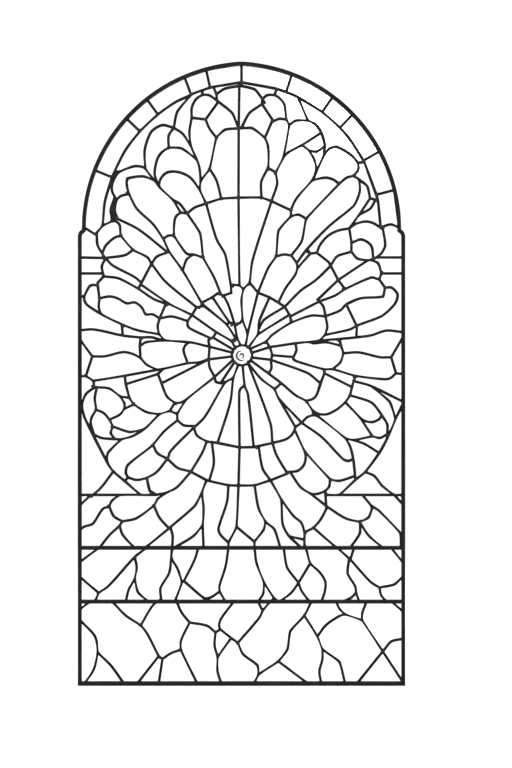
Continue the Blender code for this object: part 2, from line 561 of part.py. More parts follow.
def thinned_edges(points, edges):
    """The same network with only the points that its curves need."""
    near = neighbours(edges)
    joints = [p for p in near if len(near[p]) != 2]
    kept = set()
    for joint in joints:
        for other in near[joint]:
            chain = [joint, other]
            while len(near[chain[-1]]) == 2:
                chain.append(next(p for p in near[chain[-1]] if p != chain[-2]))
            thin = thinned(points, chain, CURVE_TOLERANCE)
            kept |= {(min(a, b), max(a, b)) for a, b in zip(thin, thin[1:]) if a != b}
    return sorted(kept)


def kept_on_bars(places):
    """The middle of some places, but on the bar's middle line where one of them is."""
    for level in (LOWER_BAR_Z, UPPER_BAR_Z):
        on_bar = [place for place in places if abs(place.y - level) < POINT_SPACING]
        if on_bar:
            return Vector((middle_of(on_bar).x, level))
    return middle_of(places)


def with_joints_merged(points, edges):
    """The network with the two ends of each short edge brought together, on the bar where one lies there."""
    group = {p: [p] for p in neighbours(edges)}
    for a, b in sorted(edges, key=lambda e: (points[e[0]] - points[e[1]]).length):
        short = (middle_of([points[p] for p in group[a]]) - middle_of([points[p] for p in group[b]])).length
        if short < LEAST_EDGE and group[a] is not group[b]:
            group[a] += group[b]
            for p in group[b]:
                group[p] = group[a]
    merged = {p: group[p][0] for p in group}
    moved = list(points)
    for p, members in group.items():
        moved[merged[p]] = kept_on_bars([points[m] for m in members])
    kept = {(min(merged[a], merged[b]), max(merged[a], merged[b])) for a, b in edges}
    return moved, sorted((a, b) for a, b in kept if a != b)


def area(loop):
    """The area of a loop of points, positive anticlockwise."""
    pairs = zip(loop, [*loop[1:], loop[0]])
    return sum(a.x * b.y - b.x * a.y for a, b in pairs) / 2


def cells(points, edges):
    """The closed cells of a network, each as its points anticlockwise."""
    near = neighbours(edges)
    turn = {}
    for point, others in near.items():
        around = sorted(others, key=lambda o: math.atan2(*reversed(points[o] - points[point])))
        for i, other in enumerate(around):
            turn[(other, point)] = (point, around[i - 1])
    loops, used = [], set()
    for start in turn:
        if start in used:
            continue
        loop, step = [], start
        while step not in used:
            used.add(step)
            loop.append(points[step[0]])
            step = turn[step]
        if area(loop) > 0:
            loops.append(loop)
    return loops


def inside(point, loop):
    """Whether the point lies in the loop."""
    odd = False
    for a, b in zip(loop, [*loop[1:], loop[0]]):
        if (a.y > point.y) != (b.y > point.y):
            if point.x < a.x + (point.y - a.y) * (b.x - a.x) / (b.y - a.y):
                odd = not odd
    return odd


def distance_to(point, loop):
    """How far the point is from the loop's line."""
    nearest = math.inf
    for a, b in zip(loop, [*loop[1:], loop[0]]):
        along = b - a
        t = max(0.0, min(1.0, (point - a).dot(along) / max(along.length_squared, 1e-18)))
        nearest = min(nearest, (point - a - t * along).length)
    return nearest


def shifted(loop, inset):
    """The loop with each side moved inwards, and the sides that close up left out."""
    sides = []
    for a, b in zip(loop, [*loop[1:], loop[0]]):
        if (b - a).length > POINT_SPACING:
            along = (b - a).normalized()
            sides.append((a + Vector((-along.y, along.x)) * inset, along))
    while len(sides) > 2:
        corners = []
        for (p, d), (q, e) in zip([sides[-1], *sides[:-1]], sides):
            cross = d.x * e.y - d.y * e.x
            if abs(cross) < 0.02:
                corners.append(q)
            else:
                corners.append(p + d * (((q - p).x * e.y - (q - p).y * e.x) / cross))
        lengths = [
            (b - a).dot(d) for a, b, (_, d) in zip(corners, [*corners[1:], corners[0]], sides)
        ]
        worst = min(range(len(sides)), key=lambda i: lengths[i])
        if lengths[worst] > 0:
            return corners
        del sides[worst]
    return []


def without_necks(loop):
    """The largest part of a loop that is nowhere pinched too narrow for a pane to be cut."""
    for i, point in enumerate(loop):
        for j in range(i + 2, len(loop)):
            if (loop[j] - point).length < LEAST_NECK and j - i < len(loop) - 1:
                return without_necks(max(loop[i:j], loop[j:] + loop[:i], key=area))
    return loop


def thinned_loop(loop):
    """The loop with only the points that its shape needs, or as it was where that would make it cross itself."""
    thin = [loop[i] for i in thinned(loop, [*range(len(loop)), 0], EDGE_TOLERANCE)[:-1]]
    clean = len(thin) > 2 and len(cells(*crossings([[*thin, thin[0]]]))) == 1
    return thin if clean else loop


def inset_loops(loop, inset):
    """The clean loops that keep this far inside the given one: more than one where it has a neck."""
    raw = shifted(loop, inset)
    if len(raw) < 3:
        return []
    clear = []
    for cell in cells(*crossings([[*raw, raw[0]]])):
        middles = [(a + b) / 2 for a, b in zip(cell, [*cell[1:], cell[0]])]
        if all(inside(p, loop) and distance_to(p, loop) > 0.6 * inset for p in middles):
            clear.append(without_necks(thinned_loop(cell)))
    return [cell for cell in clear if len(cell) > 2 and area(cell) > LEAST_PANE]


def network(groups):
    """The window's edge, bars and border with these groups of leads, split where they cross."""
    edge = outline()
    lines = [[*edge, edge[0]], arch_line(BORDER)]
    across = LINE_X + REACH * LINE_X / HALF_WIDE
    for level in (LOWER_BAR_Z, UPPER_BAR_Z):
        lines.append([Vector((-across, level)), Vector((across, level))])
    hub = Vector((0, SPRING_Z))
    for angle in BORDER_JOINTS:
        ray = Vector((math.cos(math.radians(angle)), math.sin(math.radians(angle))))
        inner, outer = ARCH_RADIUS - BORDER - ARCH_OFFSET, ARCH_RADIUS + ARCH_OFFSET
        lines.append([hub + ray * inner, hub + ray * outer])
    middle = placed(RONDEL_AT)
    rondel = arc(middle, RONDEL_RADIUS, 0, 360, 20)
    lines.append(rondel[:-1] + [rondel[0]])
    for group in groups:
        lines += [lead_line(line) for line in group]
    points, edges = crossings(lines)
    outside_rondel = [
        (a, b) for a, b in edges
        if ((points[a] + points[b]) / 2 - middle).length > 0.97 * RONDEL_RADIUS
    ]
    thin = thinned_edges(points, without_loose_ends(outside_rondel))
    points, edges = with_joints_merged(points, thin)
    points, edges = crossings([[points[a], points[b]] for a, b in edges])
    return points, without_loose_ends(edges)


def filled(loops):
    """The corners and triangles that fill the first loop less the others."""
    points, outlines = [], []
    for loop in loops:
        outlines.append(range(len(points), len(points) + len(loop)))
        points += loop
    made = geometry.delaunay_2d_cdt(points, [], outlines, TRIANGLES_INSIDE, WELD, True)
    corners, triangles, owners = made[0], made[2], made[5]
    return corners, [corner for corner, inside_of in zip(triangles, owners) if list(inside_of) == [0]]


def layered(name, faces, walls):
    """An object closed by flat faces, each (loops, depth), and walls, each (loop, depth, depth)."""
    shape = bmesh.new()
    for loops, depth in faces:
        corners, triangles = filled(loops)
        verts = [shape.verts.new((corner.x, depth, corner.y)) for corner in corners]
        for triangle in triangles:
            shape.faces.new([verts[i] for i in triangle])
    for loop, front, back in walls:
        near = [shape.verts.new((p.x, front, p.y)) for p in loop]
        far = [shape.verts.new((p.x, back, p.y)) for p in loop]
        for i in range(len(loop)):
            shape.faces.new((near[i - 1], near[i], far[i], far[i - 1]))
    bmesh.ops.remove_doubles(shape, verts=shape.verts, dist=WELD)
    bmesh.ops.delete(shape, geom=[vert for vert in shape.verts if not vert.link_faces], context="VERTS")
    bmesh.ops.recalc_face_normals(shape, faces=shape.faces)
    mesh = bpy.data.meshes.new(name)
    shape.to_mesh(mesh)
    shape.free()
    return bpy.data.objects.new(name, mesh)


def plate(name, loops, front, back):
    """A flat plate of the first loop less the others, from y = front to y = back."""
    return layered(name, [(loops, front), (loops, back)], [(loop, front, back) for loop in loops])


def material(name, colour, roughness, metallic, alpha=1.0, transmission=0.0):
    """A Principled material."""
    made = bpy.data.materials.new(name)
    made.use_nodes = True
    shader = made.node_tree.nodes["Principled BSDF"]
    shader.inputs["Base Color"].default_value = (*colour, 1)
    shader.inputs["Roughness"].default_value = roughness
    shader.inputs["Metallic"].default_value = metallic
    shader.inputs["Alpha"].default_value = alpha
    shader.inputs["Transmission Weight"].default_value = transmission
    return made


def finished(solid, looks, parts):
    """Puts a solid in the collection of parts, with its material."""
    solid.data.materials.clear()
    solid.data.materials.append(looks)
    parts.objects.link(solid)


def perimeter_frame():
    """The metal frame: a ring with a groove round its inside for the panels' edges."""
    face, groove = FRAME_DEPTH / 2, LEAF_OUTSIDE + GAP
    outer, inner = outline(FRAME_FACE / 2), outline(-FRAME_FACE / 2)
    wall = outline(FRAME_FACE / 2 - FRAME_WEB)
    faces = [
        ([outer, inner], -face), ([wall, inner], -groove), ([wall, inner], groove), ([outer, inner], face),
    ]
    walls = [(outer, -face, face), (inner, -face, -groove), (wall, -groove, groove), (inner, groove, face)]
    return layered("perimeter_frame", faces, walls)


def division_bar(name, level):
    """One bar between two panels, an H in section, its ends against the frame."""
    face, groove = BAR_DEPTH / 2, LEAF_OUTSIDE + GAP
    quarter = [(-face, BAR_FACE / 2), (-groove, BAR_FACE / 2), (-groove, BAR_WEB / 2)]
    half = quarter + [(-y, z) for y, z in reversed(quarter)]
    profile = half + [(y, -z) for y, z in reversed(half)]
    end = LINE_X - FRAME_FACE / 2 - GAP
    shape = bmesh.new()
    ends = [[shape.verts.new((x, y, level + z)) for y, z in profile] for x in (-end, end)]
    for loop in ends:
        shape.faces.new(loop)
    for i in range(len(profile)):
        shape.faces.new((ends[0][i - 1], ends[0][i], ends[1][i], ends[1][i - 1]))
    bmesh.ops.recalc_face_normals(shape, faces=shape.faces)
    mesh = bpy.data.meshes.new(name)
    shape.to_mesh(mesh)
    shape.free()
    return bpy.data.objects.new(name, mesh)


def panel_outline(low, high, grow):
    """A panel's edge between two levels, this far outside the place where it seats."""
    side = LINE_X + SEAT + grow
    foot = low + BAR_SEAT - grow if low > SILL_Z else low - SEAT - grow
    if high == TOP_Z:
        return outline(SEAT + grow, foot)
    top = high - BAR_SEAT + grow
    return [Vector(p) for p in ((side, foot), (side, top), (-side, top), (-side, foot))]


def openings(network_cells, low, high):
    """The clear opening in the lead of each cell between two levels."""
    here = [c for c in network_cells if low < middle_of(c).y < high]
    return [opening for cell in here for opening in inset_loops(cell, CAME_FACE / 2)]


def came_leading(name, low, high, every_cell, main_cells):
    """A panel's lead: every came in front, the main ones behind, tied by the heart round the edge."""
    edge, sheet = panel_outline(low, high, 0), panel_outline(low, high, -EDGE_HEART)
    front, back = openings(every_cell, low, high), openings(main_cells, low, high)
    faces = [
        ([edge, *front], -LEAF_OUTSIDE), ([sheet, *front], -LEAF_INSIDE),
        ([sheet, *back], LEAF_INSIDE), ([edge, *back], LEAF_OUTSIDE),
    ]
    walls = [(edge, -LEAF_OUTSIDE, LEAF_OUTSIDE), (sheet, -LEAF_INSIDE, LEAF_INSIDE)]
    walls += [(opening, -LEAF_OUTSIDE, -LEAF_INSIDE) for opening in front]
    walls += [(opening, LEAF_INSIDE, LEAF_OUTSIDE) for opening in back]
    return layered(name, faces, walls)


def glass_sheet(name, low, high):
    """A panel's panes, fused in one sheet: the cames between them hide their joints."""
    return plate(name, [panel_outline(low, high, -EDGE_HEART - GAP)], -GLASS / 2, GLASS / 2)


def main():
    """Builds the window."""
    for obj in list(bpy.data.objects):
        bpy.data.objects.remove(obj)
    parts = bpy.data.collections.new("stained glass window")
    bpy.context.scene.collection.children.link(parts)
    lead = material("lead", (0.045, 0.045, 0.05), 0.55, 0.6)
    metal = material("frame metal", (0.03, 0.03, 0.033), 0.45, 0.8)
    glass = material("clear glass", (0.93, 0.95, 0.94), 0.05, 0.0, alpha=0.35, transmission=1.0)
    finished(perimeter_frame(), metal, parts)
    finished(division_bar("division_bar_lower", LOWER_BAR_Z), metal, parts)
    finished(division_bar("division_bar_upper", UPPER_BAR_Z), metal, parts)
    every_cell, main_cells = cells(*network(ALL_LEADS)), cells(*network(()))
    panels = (
        ("bottom", SILL_Z, LOWER_BAR_Z), ("middle", LOWER_BAR_Z, UPPER_BAR_Z), ("rose", UPPER_BAR_Z, TOP_Z),
    )
    for label, low, high in panels:
        leading = came_leading("came_leading_" + label, low, high, every_cell, main_cells)
        finished(leading, lead, parts)
        finished(glass_sheet("glass_" + label, low, high), glass, parts)


main()
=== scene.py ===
"""The looks of the stained glass window: rounded cames, soldered joints, clear panes, frame and light.

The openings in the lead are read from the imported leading, so each came lies where the solid one does.
Lengths are in metres. The window faces -Y.
"""

import math
import random

import bmesh
import bpy
from mathutils import Matrix, Vector
from mathutils.geometry import delaunay_2d_cdt


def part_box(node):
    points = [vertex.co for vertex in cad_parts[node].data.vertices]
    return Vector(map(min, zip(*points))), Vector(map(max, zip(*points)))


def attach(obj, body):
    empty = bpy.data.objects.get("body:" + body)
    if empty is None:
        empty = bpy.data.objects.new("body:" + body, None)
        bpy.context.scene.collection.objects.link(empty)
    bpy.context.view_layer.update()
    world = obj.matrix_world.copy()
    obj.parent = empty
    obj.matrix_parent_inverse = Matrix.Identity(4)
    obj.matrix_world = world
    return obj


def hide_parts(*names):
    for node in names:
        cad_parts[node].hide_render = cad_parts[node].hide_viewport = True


PANELS = ("bottom", "middle", "rose")
SIDES = {1: "front", -1: "back"}  # 1 is the side that faces -Y
SEED = 7

# Outlines
SAME_PLACE = 1e-5  # corners nearer than this are one
CORNER_TURN = math.radians(40)  # a sharper turn of an outline near a joint is a corner
SPIKE_TURN = math.radians(75)  # and a turn sharper than this is one anywhere
JOINT_NEAR = 0.0120  # how far from a joint's middle its corners can be
FRAME_CORNER_TURN = math.radians(12)  # a sharper turn of the frame is a corner
MOST_BULGE = 0.0013  # of a smooth outline, from the straight line between two points
STEP = 0.0040  # between an outline's points once it is smooth
FILLET = 0.0016  # cut off each side of a corner by the solder that fills it
FILLET_SHARE = 0.45  # the most that a fillet takes of a side
LEAST_SIDE = 1e-6  # a shorter side counts as this long
FOLDED = 0.2  # two directions with a shorter sum run nearly against each other
LEAST_COSINE = 0.6  # keeps a sharp corner's point from moving out too far

# Meshes
INSIDE = 1  # the triangulation's output: the triangles inside the outlines
FILL_ERROR = SAME_PLACE / 50  # points nearer than this are one to the triangulation
WELD = 2e-6  # a piece's vertices nearer than this are joined
SMOOTH_TURN = math.radians(38)  # an edge where faces turn more than this looks sharp

# Cames, with depths from the window's middle plane
CAME_HALF = 0.0030  # half of a came's width
CAME_FRONT = 0.0032  # its crown
CAME_BACK = 0.00162  # its back, just clear of the panes
# Its rounded edge: distance from the opening, and depth
RIM = ((0.0, 0.00225), (0.00012, 0.00275), (0.00045, 0.00306), (0.0010, CAME_FRONT))

# Solder
JOINT_REACH = 0.0078  # corners this near to their common middle are round one joint
BLOB_RADIUS = 0.0037
BLOB_HEIGHT = 0.00042
BLOB_SUNK = 0.0004  # how deep its lowest ring lies in the came
BLOB_SIDES = 12
# Its rings: share of the radius, and height over the came
BLOB_RINGS = (
    (1.0, -BLOB_SUNK),
    (0.98, 0.35 * BLOB_HEIGHT),
    (0.8, 0.72 * BLOB_HEIGHT),
    (0.5, 0.93 * BLOB_HEIGHT),
    (0.2, BLOB_HEIGHT),
)
# Least and most factors: of the whole blob, of its width one way, and of each point the other way
BLOB_SIZES = (0.86, 1.12)
BLOB_SQUASH = (0.84, 1.0)
BLOB_WOBBLE = (0.94, 1.06)

# Glass
PANE_UNDER_LEAD = 0.0015  # how far a pane's edge lies under the cames
PANE_HALF = 0.00138  # half of its thickness
PANE_TILT = 0.004  # radians, at most
PANE_LIFT = 0.00012  # how far each of its two tilts moves its edge, at most
GLASS_ALPHA = 0.35
GLASS_IOR = 1.5
# Place along the panes' tones, and colour
GLASS_TONES = ((0.0, (0.93, 0.965, 0.955)), (0.5, (0.975, 0.985, 0.98)), (1.0, (0.985, 0.98, 0.955)))

# Metals
SHINE = 0.12  # their specular level
WEAR_FINER = 2.7  # how much finer the worn spots are than the patches of patina

# The round pane: how near its middle is to the rose's centre line, and its least area in square metres
HUB_REACH = 0.02
HUB_AREA = 0.0006

# Curl on the round pane: each stroke's radii from end to end, start and turn in degrees, and width
PAINT_THICK = 0.0005
CURL_STEPS = 24
CURL_STROKES = (((0.0098, 0.0108), 88, 218, 0.0042), ((0.0026, 0.0054), 200, -290, 0.0042))
STROKE_END = 0.35  # its width at the ends, as a share of the full width

# Frame and bars
EDGE_ROUND = 0.0009  # how far from a corner its rounding starts
EDGE_SHARE = 0.4  # the most that a rounded corner takes of a side
ROUND_STEPS = 3
GROOVE_ROOM = 0.0003  # between the leading and the grooves that hold it
BAR_WEB_HALF = 0.0008  # half of the thickness between a bar's two grooves

# Floor, sky and lights: each light's name, place, target, size, and power in watts
FLOOR_SIZE = 40
FLOOR_DROP = 0.0005
SKY_STRENGTH = 1.15
LIGHTS = (
    ("key", (-1.6, -2.4, 2.6), (0, 0, 0.7), 1.8, 60),
    ("fill", (2.2, -1.8, 1.4), (0, 0, 0.7), 2.2, 25),
    ("rim", (0.8, 2.2, 2.2), (0, 0, 0.8), 1.6, 30),
)

# Camera: the picture is 512 by 768, and its scale is the drawing's
LENS = 100.0  # millimetres, as is the sensor
SENSOR = 36.0
PICTURE_HIGH = 1.6435  # how much it shows, bottom to top, of the window's plane
VIEW_X = 0.0310  # the point that it looks straight at
VIEW_Z = 0.6445
VIEW_END = 100


def edges(loop):
    """Each point of a closed outline with the next."""
    return zip(loop, [*loop[1:], loop[0]])


def threes(loop):
    """Each point of a closed outline between the one before and the one after."""
    return zip([loop[-1], *loop[:-1]], loop, [*loop[1:], loop[0]])


def area(loop):
    """A loop's area, positive anticlockwise."""
    return sum(a.x * b.y - b.x * a.y for a, b in edges(loop)) / 2


def middle_of(loop):
    """The mean of an outline's points."""
    return sum(loop, Vector((0, 0))) / len(loop)


def border_edges(node):
    """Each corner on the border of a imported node's front face, with the corners its edges run to."""
    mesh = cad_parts[node].data
    front = min(v.co.y for v in mesh.vertices)
    mesh.calc_loop_triangles()
    ends = {}
    for triangle in mesh.loop_triangles:
        corners = [mesh.vertices[i].co for i in triangle.vertices]
        if any(abs(c.y - front) >= SAME_PLACE for c in corners):
            continue
        for a, b in edges([(round(c.x / SAME_PLACE), round(c.z / SAME_PLACE)) for c in corners]):
            # An edge that another triangle runs along the other way isn't on the border.
            if a in ends.get(b, ()):
                ends[b].remove(a)
            else:
                ends.setdefault(a, []).append(b)
    return ends


def face_loops(node):
    """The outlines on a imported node's front face, the largest first and all anticlockwise."""
    ends = border_edges(node)
    loops = []
    for start in sorted(ends):
        while ends[start]:
            loop, at = [], start
            while ends[at]:
                loop.append(Vector(at) * SAME_PLACE)
                at = ends[at].pop()
            loops.append(loop)
    loops = [loop if area(loop) > 0 else loop[::-1] for loop in loops if len(loop) > 2]
    return sorted(loops, key=area, reverse=True)


def turn_at(before, point, after):
    """How far an anticlockwise outline turns at a point, in radians, negative where it turns back."""
    return (after - point).angle_signed(point - before, 0.0)


def hermite(a, b, leaving, arriving, count):
    """Points from a up to, but not including, b, on a curve with these directions at its ends."""
    reach = (b - a).length
    points = []
    for step in range(count):
        t = step / count
        points.append(
            (2 * t**3 - 3 * t**2 + 1) * a + (t**3 - 2 * t**2 + t) * reach * leaving
            + (3 * t**2 - 2 * t**3) * b + (t**3 - t**2) * reach * arriving
        )
    return points


def eased(direction, chord):
    """The direction turned towards the chord, so that a curve keeps near it."""
    most = math.atan2(4 * MOST_BULGE, chord.length)
    turn = direction.angle_signed(chord, 0.0)
    return Matrix.Rotation(max(-most, min(most, turn)), 2) @ chord.normalized()


def crosses_itself(loop):
    """Whether an outline crosses itself, which adds points to its triangulation."""
    corners = delaunay_2d_cdt(loop, [], [range(len(loop))], INSIDE, FILL_ERROR, False)[0]
    return len(corners) > len(loop)


def frame_corners(loop):
    """For each point of the frame's outline, whether it is a corner."""
    return [abs(turn_at(*three)) > FRAME_CORNER_TURN for three in threes(loop)]


def inside_box(point, low, high, margin):
    """Whether the point lies in the box or this near to it."""
    across = low.x - margin < point.x < high.x + margin
    return across and low.y - margin < point.y < high.y + margin


def is_corner(before, point, after, places):
    """Whether an outline keeps its corner here: near a joint, or where it turns very sharply."""
    turn = turn_at(before, point, after)
    if turn < CORNER_TURN:
        return turn < -SPIKE_TURN
    return turn > SPIKE_TURN or any((place - point).length < JOINT_NEAR for place in places)


def opening_corners(loop, places):
    """For each point of an opening, whether it is a corner, from the joints' places."""
    low = Vector((min(p.x for p in loop), min(p.y for p in loop)))
    high = Vector((max(p.x for p in loop), max(p.y for p in loop)))
    near = [place for place in places if inside_box(place, low, high, JOINT_NEAR)]
    return [is_corner(*three, near) for three in threes(loop)]


def cut_towards(point, other, fillet):
    """The end of a fillet on the side from a corner to another point."""
    side = other - point
    return point + side * min(FILLET_SHARE, fillet / max(side.length, LEAST_SIDE))


def filleted(points, at_corner, fillet):
    """The outline with each of these corners cut and rounded."""
    filled = []
    for index, (before, point, after) in enumerate(threes(points)):
        if index in at_corner:
            first = cut_towards(point, before, fillet)
            last = cut_towards(point, after, fillet)
            filled += [first, (first + 2 * point + last) / 4, last]
        else:
            filled.append(point)
    return filled


def smooth_loop(loop, sharp, fillet):
    """The outline with its bends made smooth and each sharp corner filled a little.

    An outline that would cross itself once it is smooth stays as it was.
    """
    count = len(loop)
    points, at_corner = [], set()
    for i in range(count):
        following = (i + 1) % count
        a, b = loop[i], loop[following]
        leaving = eased(b - (a if sharp[i] else loop[i - 1]), b - a)
        arriving = eased((b if sharp[following] else loop[(i + 2) % count]) - a, b - a)
        if sharp[i]:
            at_corner.add(len(points))
        straight = sharp[i] and sharp[following]
        steps = 1 if straight else max(1, round((b - a).length / STEP))
        points += hermite(a, b, leaving, arriving, steps)
    if fillet:
        points = filleted(points, at_corner, fillet)
    return loop if crosses_itself(points) else points


def moved_out(loop, distance):
    """The outline with every point moved outwards, square to the outline."""
    moved = []
    for before, point, after in threes(loop):
        first, second = (point - before).normalized(), (after - point).normalized()
        along = first + second
        if along.length < FOLDED:
            along = second
        along.normalize()
        stretch = 1 / max(LEAST_COSINE, along.dot(second))
        moved.append(point + Vector((along.y, -along.x)) * distance * stretch)
    return moved


def filled_face(shape, loops, depth):
    """Adds the flat face of the first loop less the others, at this depth."""
    points, outlines = [], []
    for loop in loops:
        # The side of a loop's first edge counts as its inside, so it starts at its leftmost point.
        start = min(range(len(loop)), key=lambda i: loop[i].x)
        outlines.append(range(len(points), len(points) + len(loop)))
        points += loop[start:] + loop[:start]
    filled = delaunay_2d_cdt(points, [], outlines, INSIDE, FILL_ERROR, True)
    corners, _, triangles, _, _, owners = filled
    verts = [shape.verts.new((corner.x, depth, corner.y)) for corner in corners]
    for triangle, inside in zip(triangles, owners):
        if list(inside) == [0]:
            shape.faces.new([verts[i] for i in triangle])
    bmesh.ops.delete(shape, geom=[vert for vert in verts if not vert.link_faces], context="VERTS")


def bridge(shape, rings):
    """Adds quads between each ring of vertices and the next."""
    for near, far in zip(rings, rings[1:]):
        for i in range(len(near)):
            shape.faces.new((near[i - 1], near[i], far[i], far[i - 1]))


def add_rows(shape, rows, closed=False):
    """Adds quads between outlines, each row (outline, depth), and gives the rings of vertices."""
    rings = [[shape.verts.new((p.x, depth, p.y)) for p in loop] for loop, depth in rows]
    bridge(shape, rings + rings[:1] if closed else rings)
    return rings


def finished(shape, name, look, replaced=()):
    """Makes the mesh a piece of the window."""
    bmesh.ops.remove_doubles(shape, verts=shape.verts, dist=WELD)
    bmesh.ops.recalc_face_normals(shape, faces=shape.faces)
    mesh = bpy.data.meshes.new(name)
    shape.to_mesh(mesh)
    shape.free()
    for face in mesh.polygons:
        face.use_smooth = True
    mesh.set_sharp_from_angle(angle=SMOOTH_TURN)
    piece = bpy.data.objects.new(name, mesh)
    bpy.context.scene.collection.objects.link(piece)
    mesh.materials.append(look)
    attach(piece, "root")
    for node in replaced:
        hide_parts(node)


def material(name, colour, roughness, metallic=0.0):
    """A Principled material, and its shader."""
    made = bpy.data.materials.new(name)
    made.use_nodes = True
    shader = made.node_tree.nodes["Principled BSDF"]
    shader.inputs["Base Color"].default_value = (*colour, 1)
    shader.inputs["Roughness"].default_value = roughness
    shader.inputs["Metallic"].default_value = metallic
    return made, shader


def noise_texture(made, scale, detail=3.0):
    """A noise texture in the window's own coordinates."""
    nodes, links = made.node_tree.nodes, made.node_tree.links
    place = nodes.new("ShaderNodeTexCoord")
    texture = nodes.new("ShaderNodeTexNoise")
    texture.inputs["Scale"].default_value = scale
    texture.inputs["Detail"].default_value = detail
    links.new(place.outputs["Object"], texture.inputs["Vector"])
    return texture.outputs["Fac"]


def ramp(made, factor, stops):
    """A colour ramp over a factor, its stops (place, colour)."""
    node = made.node_tree.nodes.new("ShaderNodeValToRGB")
    made.node_tree.links.new(factor, node.inputs["Fac"])
    for element, (place, colour) in zip(node.color_ramp.elements, (stops[0], stops[-1])):
        element.position = place
        element.color = (*colour, 1)
    for place, colour in stops[1:-1]:
        node.color_ramp.elements.new(place).color = (*colour, 1)
    return node.outputs["Color"]


def bump(made, shader, height, strength, distance):
    """Gives the shader a bump from this height."""
    node = made.node_tree.nodes.new("ShaderNodeBump")
    node.inputs["Strength"].default_value = strength
    node.inputs["Distance"].default_value = distance
    made.node_tree.links.new(height, node.inputs["Height"])
    made.node_tree.links.new(node.outputs["Normal"], shader.inputs["Normal"])


def mottled(name, tones, wear, metallic, scale, grain):
    """A metal with a patina in patches and a fine grain.

    Its tones are stops (place, colour) and its wear stops (place, roughness).
    """
    made, shader = material(name, tones[0][1], roughness=0.5, metallic=metallic)
    links = made.node_tree.links
    patches = noise_texture(made, scale)
    links.new(ramp(made, patches, tones), shader.inputs["Base Color"])
    worn = noise_texture(made, scale * WEAR_FINER)
    shader.inputs["Specular IOR Level"].default_value = SHINE
    rough = ramp(made, worn, [(place, (value, value, value)) for place, value in wear])
    links.new(rough, shader.inputs["Roughness"])
    bump(made, shader, noise_texture(made, scale=grain, detail=4.0), strength=0.35, distance=0.00015)
    return made


def metals():
    """The materials of the lead, the solder and the frame."""
    lead = mottled(
        "lead_patina",
        tones=((0.25, (0.003, 0.003, 0.004)), (0.55, (0.007, 0.007, 0.008)), (0.8, (0.018, 0.018, 0.02))),
        wear=((0.3, 0.42), (0.7, 0.62)),
        metallic=0.3,
        scale=38.0,
        grain=900.0,
    )
    tin = mottled(
        "solder_patina",
        tones=((0.3, (0.008, 0.008, 0.009)), (0.75, (0.034, 0.035, 0.038))),
        wear=((0.3, 0.28), (0.7, 0.5)),
        metallic=0.6,
        scale=60.0,
        grain=500.0,
    )
    metal = mottled(
        "black_frame_paint",
        tones=((0.3, (0.004, 0.004, 0.005)), (0.6, (0.007, 0.007, 0.008)), (0.85, (0.015, 0.0145, 0.014))),
        wear=((0.3, 0.34), (0.7, 0.5)),
        metallic=0.2,
        scale=22.0,
        grain=1400.0,
    )
    return lead, tin, metal


def clear_glass():
    """Clear glass, see-through by its own values, with a slow wave and a faint tone for each pane."""
    made, shader = material("clear_glass", (0.97, 0.985, 0.98), roughness=0.02)
    shader.inputs["Transmission Weight"].default_value = 1.0
    shader.inputs["Alpha"].default_value = GLASS_ALPHA
    shader.inputs["IOR"].default_value = GLASS_IOR
    tone = made.node_tree.nodes.new("ShaderNodeAttribute")
    tone.attribute_name = "tone"
    tint = ramp(made, tone.outputs["Fac"], GLASS_TONES)
    made.node_tree.links.new(tint, shader.inputs["Base Color"])
    bump(made, shader, noise_texture(made, scale=14.0, detail=2.0), strength=0.5, distance=0.0012)
    return made


def came_faces(panel, edge, openings, side, lead):
    """One face of a panel's leading: a rounded came round every opening, closed behind."""
    shape = bmesh.new()
    front, back = -side * CAME_FRONT, -side * CAME_BACK
    tops = [moved_out(loop, RIM[-1][0]) for loop in openings]
    filled_face(shape, [edge, *tops], front)
    filled_face(shape, [edge, *openings], back)
    add_rows(shape, [(edge, front), (edge, back)])
    for loop, top in zip(openings, tops):
        rim = [(moved_out(loop, out), -side * depth) for out, depth in RIM[:-1]]
        add_rows(shape, [(loop, back), *rim, (top, front)])
    replaced = ["came_leading_" + panel] if side > 0 else []
    finished(shape, f"came_{SIDES[side]}_{panel}", lead, replaced)


def corner_groups(openings):
    """The openings' corners by joint: each group [middle, [(corner, its opening's middle), ...]]."""
    groups = []
    for loop in openings:
        for before, point, after in threes(loop):
            if turn_at(before, point, after) < CORNER_TURN:
                continue
            near = [group for group in groups if (group[0] - point).length < JOINT_REACH]
            if near:
                near[0][1].append((point, middle_of(loop)))
                near[0][0] = middle_of([corner for corner, _ in near[0][1]])
            else:
                groups.append([point.copy(), [(point, middle_of(loop))]])
    return groups


def joints(openings):
    """The middle of each place where cames meet, from the openings' corners round it."""
    places = []
    for place, corners in corner_groups(openings):
        panes_round = {tuple(middle) for _, middle in corners}
        if len(panes_round) == 2:
            # The third pane has no corner here: one came runs straight on, past the other's end.
            away = place - middle_of([middle for _, middle in corners])
            place = place + away.normalized() * CAME_HALF
        if len(panes_round) > 1:
            places.append(place)
    return places


def blob(place):
    """The rings of a slightly uneven blob, each (outline, height over the came)."""
    size = BLOB_RADIUS * random.uniform(*BLOB_SIZES)
    lean = random.uniform(0, math.pi)
    squash = random.uniform(*BLOB_SQUASH)
    wobble = [random.uniform(*BLOB_WOBBLE) for _ in range(BLOB_SIDES)]
    rings = []
    for share, height in BLOB_RINGS:
        ring = []
        for i in range(BLOB_SIDES):
            angle = 2 * math.pi * i / BLOB_SIDES
            x = share * size * wobble[i] * math.cos(angle)
            z = share * size * squash * math.sin(angle)
            across = x * math.cos(lean) - z * math.sin(lean)
            up = x * math.sin(lean) + z * math.cos(lean)
            ring.append(place + Vector((across, up)))
        rings.append((ring, height))
    return rings


